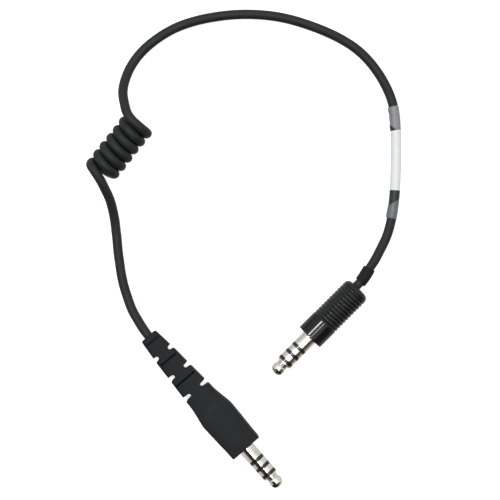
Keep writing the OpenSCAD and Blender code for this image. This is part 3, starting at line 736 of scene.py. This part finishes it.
# ------------------------------------------------------------------ finishes
class Finish:
    """A Principled material with its own small node graph."""

    def __init__(self, name, **sockets):
        self.material = bpy.data.materials.new(name)
        self.material.use_nodes = True
        self.tree = self.material.node_tree
        self.shader = self.tree.nodes["Principled BSDF"]
        for key, value in sockets.items():
            self.shader.inputs[key.replace("_", " ")].default_value = value
        self.object = self.tree.nodes.new("ShaderNodeTexCoord").outputs["Object"]

    def straight(self):
        n = self.tree.nodes.new("ShaderNodeAttribute")
        n.attribute_name = "straight"
        return n.outputs["Vector"]

    def scaled(self, vector, scale, rotation=(0, 0, 0)):
        n = self.tree.nodes.new("ShaderNodeMapping")
        n.inputs["Scale"].default_value = scale
        n.inputs["Rotation"].default_value = rotation
        self.tree.links.new(vector, n.inputs["Vector"])
        return n.outputs["Vector"]

    def noise(self, vector, scale, detail=3, rough=0.55, distortion=0.0):
        n = self.tree.nodes.new("ShaderNodeTexNoise")
        n.inputs["Scale"].default_value = scale
        n.inputs["Detail"].default_value = detail
        n.inputs["Roughness"].default_value = rough
        n.inputs["Distortion"].default_value = distortion
        self.tree.links.new(vector, n.inputs["Vector"])
        return n.outputs["Fac"]

    def cells(self, vector, scale, feature="F1"):
        n = self.tree.nodes.new("ShaderNodeTexVoronoi")
        n.feature = feature
        n.inputs["Scale"].default_value = scale
        self.tree.links.new(vector, n.inputs["Vector"])
        return n.outputs["Distance"]

    def ramp(self, fac, stops):
        n = self.tree.nodes.new("ShaderNodeValToRGB")
        while len(n.color_ramp.elements) < len(stops):
            n.color_ramp.elements.new(0.5)
        for e, (at, colour) in zip(n.color_ramp.elements, stops):
            e.position = at
            e.color = (*colour, 1) if hasattr(colour, "__len__") else (colour, colour, colour, 1)
        self.tree.links.new(fac, n.inputs["Fac"])
        return n.outputs["Color"]

    def remap(self, fac, low, high, a=0.0, b=1.0):
        n = self.tree.nodes.new("ShaderNodeMapRange")
        for key, value in (("From Min", a), ("From Max", b), ("To Min", low), ("To Max", high)):
            n.inputs[key].default_value = value
        self.tree.links.new(fac, n.inputs["Value"])
        return n.outputs["Result"]

    def math(self, operation, a, b):
        n = self.tree.nodes.new("ShaderNodeMath")
        n.operation = operation
        for socket, value in zip(n.inputs, (a, b)):
            if isinstance(value, (int, float)):
                socket.default_value = value
            else:
                self.tree.links.new(value, socket)
        return n.outputs["Value"]

    def mix(self, fac, a, b, blend="MIX"):
        n = self.tree.nodes.new("ShaderNodeMix")
        n.data_type = "RGBA"
        n.blend_type = blend
        for socket, value in ((n.inputs[0], fac), (n.inputs[6], a), (n.inputs[7], b)):
            if isinstance(value, (int, float)):
                socket.default_value = value
            elif isinstance(value, tuple):
                socket.default_value = (*value, 1)
            else:
                self.tree.links.new(value, socket)
        return n.outputs[2]

    def bump(self, height, strength, distance, under=None):
        n = self.tree.nodes.new("ShaderNodeBump")
        n.inputs["Strength"].default_value = strength
        n.inputs["Distance"].default_value = distance
        self.tree.links.new(height, n.inputs["Height"])
        if under is not None:
            self.tree.links.new(under, n.inputs["Normal"])
        return n.outputs["Normal"]

    def into(self, **links):
        for key, output in links.items():
            self.tree.links.new(output, self.shader.inputs[key.replace("_", " ")])
        return self


def cord_finish(name, where):
    """Extruded soft jacket: faint draw lines along it, a dull bloom in patches and a fine skin."""
    f = Finish(name, Specular_IOR_Level=0.26)
    v = f.straight() if where == "straight" else f.object
    drawn = f.noise(f.scaled(v, (1, 1, 0.03)), 1900, 2, 0.5)
    patches = f.noise(v, 170, 4, 0.6)
    skin = f.noise(v, 5200, 2, 0.6)
    colour = f.ramp(f.math("ADD", f.math("MULTIPLY", drawn, 0.35), f.math("MULTIPLY", patches, 0.65)),
                    [(0.30, (0.0125, 0.0150, 0.0140)), (0.55, (0.0170, 0.0198, 0.0184)), (0.75, (0.0235, 0.0265, 0.0250))])
    rough = f.remap(f.math("ADD", f.math("MULTIPLY", patches, 0.7), f.math("MULTIPLY", skin, 0.3)), 0.46, 0.66, 0.3, 0.7)
    under = f.bump(drawn, 0.35, 0.00003)
    return f.into(Base_Color=colour, Roughness=rough, Normal=f.bump(skin, 0.35, 0.000018, under)).material


def rubber_finish(name, tone, pad=False):
    """Moulded rubber with the fine even grain that the mould's spark-worn face leaves, and on the grip a smoother oval pad."""
    f = Finish(name, Specular_IOR_Level=0.12)
    grain = f.cells(f.object, 3400)
    cloud = f.noise(f.object, 95, 5, 0.6)
    scuff = f.noise(f.scaled(f.object, (1, 1, 0.25), (0.3, 0.2, 0.5)), 900, 3, 0.7)
    a, b, c = ([x * k for x in tone] for k in (0.62, 1.0, 1.55))
    colour = f.ramp(f.math("ADD", f.math("MULTIPLY", cloud, 0.75), f.math("MULTIPLY", scuff, 0.25)), [(0.32, a), (0.52, b), (0.74, c)])
    rough = f.remap(cloud, 0.50, 0.68, 0.3, 0.7)
    under = f.bump(scuff, 0.25, 0.00003)
    if pad:
        split = f.tree.nodes.new("ShaderNodeSeparateXYZ")
        f.tree.links.new(f.object, split.inputs[0])
        down, across, station = (split.outputs[k] for k in "XYZ")
        lengthwise = f.math("MAXIMUM", f.math("SUBTRACT", f.math("ABSOLUTE", f.math("ADD", station, 0.0146), 0), 0.0055), 0)
        reach = f.math("SQRT", f.math("ADD", f.math("MULTIPLY", lengthwise, lengthwise), f.math("MULTIPLY", across, across)), 0)
        inside = f.math("MULTIPLY", f.remap(reach, 1.0, 0.0, 0.00395, 0.00425), f.remap(down, 1.0, 0.0, -0.0062, -0.0060))
        colour = f.mix(inside, colour, f.mix(1.0, colour, (0.80, 0.86, 0.84), "MULTIPLY"))
        rough = f.math("SUBTRACT", rough, f.math("MULTIPLY", inside, 0.12))
    return f.into(Base_Color=colour, Roughness=rough, Normal=f.bump(grain, 0.45, 0.00002, under)).material


def gloss_finish():
    """Glossy moulded plastic with hairline rubs; the ribbed part has a lighter, mottled base colour than the plain
    ring.
    """
    f = Finish("handle_plastic", Specular_IOR_Level=0.34)
    hair = f.noise(f.scaled(f.object, (1, 1, 0.06), (0, 0, 0.4)), 2600, 2, 0.7)
    cloud = f.noise(f.object, 160, 4, 0.6)
    rib_mottle = f.noise(f.object, 900, 4, 0.7)
    flow = f.noise(f.object, 420, 2, 0.5)
    split = f.tree.nodes.new("ShaderNodeSeparateXYZ")
    f.tree.links.new(f.object, split.inputs[0])
    in_ribs = f.remap(split.outputs["Z"], 1.0, 0.0, -0.0102, -0.0092)
    plain = f.ramp(cloud, [(0.3, (0.0045, 0.0046, 0.0052)), (0.6, (0.0070, 0.0074, 0.0080)), (0.8, (0.012, 0.0125, 0.0135))])
    # the ribbed part gets a lighter base colour than the plain ring
    ribs_lighter_tone = f.ramp(f.math("ADD", f.math("MULTIPLY", cloud, 0.4), f.math("MULTIPLY", rib_mottle, 0.6)), [(0.34, (0.0050, 0.0060, 0.0058)), (0.52, (0.0092, 0.0108, 0.0104)), (0.7, (0.019, 0.0215, 0.0205))])
    rough = f.remap(f.math("ADD", f.math("MULTIPLY", hair, 0.5), f.math("MULTIPLY", cloud, 0.5)), 0.09, 0.17, 0.3, 0.7)
    under = f.bump(flow, 0.15, 0.00003)
    return f.into(Base_Color=f.mix(in_ribs, plain, ribs_lighter_tone), Roughness=rough, Normal=f.bump(hair, 0.12, 0.00001, under)).material


def metal_finish():
    """Nickel plate over turned brass: fine rings from the tool, a warm cast and dull handled patches."""
    f = Finish("contact_metal", Metallic=1.0)
    rings = f.noise(f.scaled(f.object, (0.02, 0.02, 1)), 5200, 3, 0.7)
    wide = f.noise(f.scaled(f.object, (0.05, 0.05, 1)), 900, 2, 0.6)
    cloud = f.noise(f.object, 260, 4, 0.6)
    colour = f.ramp(cloud, [(0.3, (0.76, 0.73, 0.66)), (0.55, (0.85, 0.83, 0.78)), (0.8, (0.89, 0.875, 0.84))])
    rough = f.remap(f.math("ADD", f.math("MULTIPLY", cloud, 0.6), f.math("MULTIPLY", rings, 0.4)), 0.045, 0.12, 0.3, 0.7)
    under = f.bump(wide, 0.25, 0.00002)
    return f.into(Base_Color=colour, Roughness=rough, Normal=f.bump(rings, 0.3, 0.000006, under)).material


def band_finish():
    f = Finish("insulator_plastic", Specular_IOR_Level=0.6)
    cloud = f.noise(f.object, 800, 4, 0.6)
    rings = f.noise(f.scaled(f.object, (0.02, 0.02, 1)), 4200, 2, 0.6)
    colour = f.ramp(cloud, [(0.3, (0.006, 0.0045, 0.0035)), (0.6, (0.010, 0.0078, 0.006)), (0.8, (0.02, 0.016, 0.012))])
    return f.into(Base_Color=colour, Roughness=f.remap(cloud, 0.2, 0.34, 0.3, 0.7), Normal=f.bump(rings, 0.3, 0.00001)).material


def film_finish(name, stops, mottle, rough, **sockets):
    """Wrapped film on the cord: mottled where air lies under it, with faint lines along its wrap. On the clear film
    ends the grey and its mottle are painted reflection.
    """
    f = Finish(name, **sockets)
    v = f.straight()
    air = f.noise(v, mottle, 4, 0.65, 0.6)
    lines = f.noise(f.scaled(v, (1, 1, 0.05)), 1500, 2, 0.6)
    colour = f.ramp(f.math("ADD", f.math("MULTIPLY", air, 0.62), f.math("MULTIPLY", lines, 0.38)), stops)
    return f.into(Base_Color=colour, Roughness=f.remap(air, *rough, 0.3, 0.7), Normal=f.bump(air, 0.3, 0.00004, f.bump(lines, 0.3, 0.00002))).material


def plain_finish(name, stops, scale, rough, bump=0.00002, **sockets):
    f = Finish(name, **sockets)
    cloud = f.noise(f.object, scale, 4, 0.6)
    fine = f.noise(f.object, scale * 7, 2, 0.6)
    return f.into(Base_Color=f.ramp(cloud, stops), Roughness=f.remap(fine, *rough, 0.3, 0.7), Normal=f.bump(fine, 0.4, bump)).material


def strand_finish():
    """Bare tinned strands, laid up with a twist."""
    f = Finish("tinned_wire", Metallic=1.0)
    n = f.tree.nodes.new("ShaderNodeTexWave")
    n.inputs["Scale"].default_value = 900
    n.inputs["Distortion"].default_value = 1.2
    f.tree.links.new(f.scaled(f.object, (1, 1, 1), (0.6, 0.4, 0.2)), n.inputs["Vector"])
    colour = f.ramp(n.outputs["Fac"], [(0.2, (0.32, 0.31, 0.30)), (0.7, (0.72, 0.71, 0.69))])
    return f.into(Base_Color=colour, Roughness=f.remap(n.outputs["Fac"], 0.42, 0.25), Normal=f.bump(n.outputs["Fac"], 0.6, 0.00008)).material


def dress(obj, slot, *materials):
    """Gives a piece its material, or one for each of its zones. The slot is not used."""
    zones = np.zeros(len(obj.data.polygons), np.int32)
    obj.data.polygons.foreach_get("material_index", zones)
    obj.data.materials.clear()
    for m in materials:
        obj.data.materials.append(m)
    obj.data.polygons.foreach_set("material_index", np.minimum(zones, len(materials) - 1))


cord_skin, cord_inner = cord_finish("cord_jacket", "straight"), cord_finish("cord_jacket_inner", "object")
for piece in (lower_cord, curl_cord, upper_cord):
    dress(piece, "cord_jacket", cord_skin)
dress(grip, "grip_rubber", rubber_finish("grip_rubber", (0.0134, 0.0156, 0.0172), True))
dress(handle, "handle_plastic", gloss_finish())
dress(collar, "shrink_tube", rubber_finish("shrink_tube", (0.0140, 0.0140, 0.0148)))
# painted reflection: the grey of the clear film ends stands in for the light the film throws back over the black cord
film_sheen_stops = [(0.30, (0.155, 0.160, 0.168)), (0.52, (0.235, 0.243, 0.252)), (0.72, (0.33, 0.34, 0.35))]
dress(label, "label_film",
      film_finish("label_film_upper", film_sheen_stops, 620, (0.34, 0.5), Specular_IOR_Level=0.4, Coat_Weight=0.1, Coat_Roughness=0.25),
      film_finish("label_panel", [(0.30, (0.70, 0.715, 0.71)), (0.55, (0.775, 0.795, 0.785)), (0.75, (0.83, 0.845, 0.84))], 300, (0.4, 0.55), Specular_IOR_Level=0.5),
      film_finish("label_window", [(0.30, (0.014, 0.016, 0.016)), (0.55, (0.024, 0.027, 0.027)), (0.75, (0.045, 0.048, 0.049))], 700, (0.44, 0.6), Specular_IOR_Level=0.4),
      # the lower film end: a darker, bluer copy of the same painted reflection
      film_finish("label_film_lower", [(at, (c[0] * 0.62, c[1] * 0.62, c[2] * 0.68)) for at, c in film_sheen_stops], 620, (0.34, 0.5), Specular_IOR_Level=0.4, Coat_Weight=0.1, Coat_Roughness=0.25))
metal = metal_finish()
for piece in metal_pieces:
    dress(piece, "contact_metal", metal)
bands = band_finish()
for piece in band_pieces:
    dress(piece, "insulator_plastic", bands)

nodes = frame["nodes"]
tinned = strand_finish()
inner = {
    "cord_end_a": ("cord_jacket", cord_inner),
    "inner_mould": ("mould_core", plain_finish("mould_core", [(0.3, (0.60, 0.58, 0.51)), (0.7, (0.76, 0.74, 0.68))], 260, (0.45, 0.65))),
    "cord_clamp": ("contact_metal", metal),
    "terminal_washer": ("washer_fibre", plain_finish("washer_fibre", [(0.3, (0.13, 0.07, 0.035)), (0.5, (0.21, 0.12, 0.065)), (0.7, (0.28, 0.17, 0.10))], 900, (0.7, 0.9), 0.00005)),
}
insulation = {
    "ring_1": ("red_wire", plain_finish("red_wire", [(0.3, (0.42, 0.022, 0.018)), (0.7, (0.60, 0.045, 0.035))], 700, (0.3, 0.45))),
    "ring_2": ("white_wire", plain_finish("white_wire", [(0.3, (0.68, 0.68, 0.65)), (0.7, (0.82, 0.82, 0.80))], 700, (0.3, 0.45))),
    "tip": ("green_wire", plain_finish("green_wire", [(0.3, (0.02, 0.22, 0.055)), (0.7, (0.035, 0.33, 0.09))], 700, (0.3, 0.45))),
    "sleeve": ("tinned_wire", tinned),
}
for tag in "ab":
    for key, value in insulation.items():
        inner[f"wire_{key}_{tag}"] = value
for name, (slot, material) in inner.items():
    dress(conductors.get(name, nodes[name]), slot, material)

# ------------------------------------------------------------------ table and light
bpy.ops.mesh.primitive_plane_add(size=6, location=(0, 0.05, -0.00002))
table = bpy.context.object
table.name = "table"
white = Finish("table_white", Roughness=0.8, Specular_IOR_Level=0.1, Emission_Color=(1, 1, 1, 1))
# the paper looks burnt out to the camera, as in an overexposed catalogue picture, but lights the lead no more than white paper does
burnt = white.math("MULTIPLY", white.tree.nodes.new("ShaderNodeLightPath").outputs["Is Camera Ray"], 0.70)
white.into(Base_Color=white.ramp(white.noise(white.object, 30, 3), [(0.3, 0.76), (0.7, 0.79)]), Emission_Strength=burnt)
table.data.materials.append(white.material)
table.visible_glossy = False

world = bpy.data.worlds.new("studio")
scene.world = world
world.use_nodes = True
w = world.node_tree
w.nodes.clear()


def node(kind, **links):
    n = w.nodes.new(kind)
    for key, value in links.items():
        socket = n.inputs[int(key[1:])] if key[0] == "i" and key[1:].isdigit() else n.inputs[key.replace("_", " ")]
        if hasattr(value, "is_output"):
            w.links.new(value, socket)
        else:
            socket.default_value = value
    return n


def world_smooth(value, a, b):
    n = node("ShaderNodeMapRange", From_Min=a, From_Max=b, Value=value)
    n.interpolation_type = "SMOOTHSTEP"
    return n.outputs["Result"]


def world_mix(fac, a, b):
    n = w.nodes.new("ShaderNodeMix")
    n.data_type = "RGBA"
    for socket, value in ((n.inputs[0], fac), (n.inputs[6], a), (n.inputs[7], b)):
        if isinstance(value, tuple):
            socket.default_value = (*value, 1)
        else:
            w.links.new(value, socket)
    return n.outputs[2]


def world_ramp(fac, stops):
    n = w.nodes.new("ShaderNodeValToRGB")
    while len(n.color_ramp.elements) < len(stops):
        n.color_ramp.elements.new(0.5)
    for e, (at, colour) in zip(n.color_ramp.elements, stops):
        e.position = at
        e.color = (*colour, 1) if hasattr(colour, "__len__") else (colour, colour, colour, 1)
    w.links.new(fac, n.inputs["Fac"])
    return n.outputs["Color"]


def world_math(operation, a, b=0.0):
    n = w.nodes.new("ShaderNodeMath")
    n.operation = operation
    for socket, value in zip(n.inputs, (a, b)):
        if isinstance(value, (int, float)):
            socket.default_value = value
        else:
            w.links.new(value, socket)
    return n.outputs["Value"]


split = node("ShaderNodeSeparateXYZ", Vector=node("ShaderNodeTexCoord").outputs["Generated"])
east, north, up = split.outputs["X"], split.outputs["Y"], split.outputs["Z"]
height = world_math("MULTIPLY_ADD", up, 0.5)  # 0 straight down, 1 straight up
height.node.inputs[2].default_value = 0.5
# a bright ceiling, pale blinds to the north, dark and brown drapes to the south, white paper below
CEILING, DARK, LINE = (1.32, 1.29, 1.22), (0.014, 0.011, 0.008), (0.12, 0.10, 0.075)
pale_side = world_ramp(height, [(0.0, 0.62), (0.485, 0.72), (0.60, 0.76), (0.635, 0.48), (0.66, 0.48), (0.70, 0.95), (0.76, 0.95), (0.80, 0.52), (0.825, 0.52), (0.85, 1.1), (0.90, 1.1), (0.915, 0.66), (0.925, 0.66), (0.94, CEILING)])
brown_east = world_ramp(height, [(0.0, 0.62), (0.32, 0.66), (0.40, (0.30, 0.27, 0.20)), (0.52, (0.22, 0.19, 0.13)), (0.66, (0.15, 0.125, 0.08)), (0.78, (0.07, 0.057, 0.038)), (0.82, DARK), (0.885, DARK), (0.9, (1.2, 1.17, 1.1)), (0.92, CEILING)])
south_west = world_math("MULTIPLY_ADD", world_math("ADD", world_math("MULTIPLY", east, -0.785), world_math("MULTIPLY", north, -0.62)), 0.5)
south_west.node.inputs[2].default_value = 0.5
brown_west = world_ramp(south_west, [(0.0, CEILING), (0.476, CEILING), (0.486, LINE), (0.512, LINE), (0.524, (1.1, 1.07, 1.0)), (0.548, (1.1, 1.07, 1.0)), (0.562, DARK), (0.74, (0.03, 0.02, 0.014)),
                                     (0.88, (0.06, 0.04, 0.026)), (0.95, (0.14, 0.105, 0.07)), (0.968, 0.5), (1.0, 0.68)])
west = world_mix(world_smooth(height, 0.46, 0.53), (0.66, 0.66, 0.66), world_mix(world_smooth(north, -0.12, -0.04), world_mix(world_smooth(south_west, 0.474, 0.484), pale_side, brown_west), pale_side))
east_side = world_mix(world_smooth(north, -0.30, -0.08), brown_east, pale_side)
front = world_ramp(height, [(0.2, (0.05, 0.04, 0.03)), (0.5, (0.02, 0.016, 0.012)), (0.8, DARK)])
sky = world_mix(world_smooth(north, -0.80, -0.70), front, world_mix(world_smooth(east, 0.0, 0.08), west, east_side))
background = node("ShaderNodeBackground", Color=sky, Strength=1.0)
plain = node("ShaderNodeBackground", Color=(0.9, 0.9, 0.9, 1), Strength=1.0)
seen = node("ShaderNodeMixShader", i0=node("ShaderNodeLightPath").outputs["Is Camera Ray"], i1=background.outputs[0], i2=plain.outputs[0])
node("ShaderNodeOutputWorld", Surface=seen.outputs[0])


def lamp(name, at, size, power, colour, roll=0.0):
    light = bpy.data.lights.new(name, "AREA")
    light.shape, light.size, light.size_y = "RECTANGLE", size[0], size[1]
    light.energy, light.color = power, colour
    obj = bpy.data.objects.new(name, light)
    obj.location = at
    aim = (Vector(at) - Vector((0.0, 0.04, 0))).to_track_quat("Z", "Y").to_matrix().to_4x4()
    obj.rotation_euler = (aim @ Matrix.Rotation(math.radians(roll), 4, "Z")).to_euler()
    scene.collection.objects.link(obj)
    return obj


lamp("softbox_over", (-0.36, 0.33, 1.3), (0.11, 0.40), 6.5, (0.96, 0.96, 1.0), -45)
lamp("softbox_side", (0.05, -0.08, 1.25), (0.08, 0.30), 1.8, (0.86, 0.86, 1.0), -45)

scene.view_settings.view_transform = "Standard"
scene.view_settings.look = "None"
scene.view_settings.exposure = 0
scene.view_settings.gamma = 1
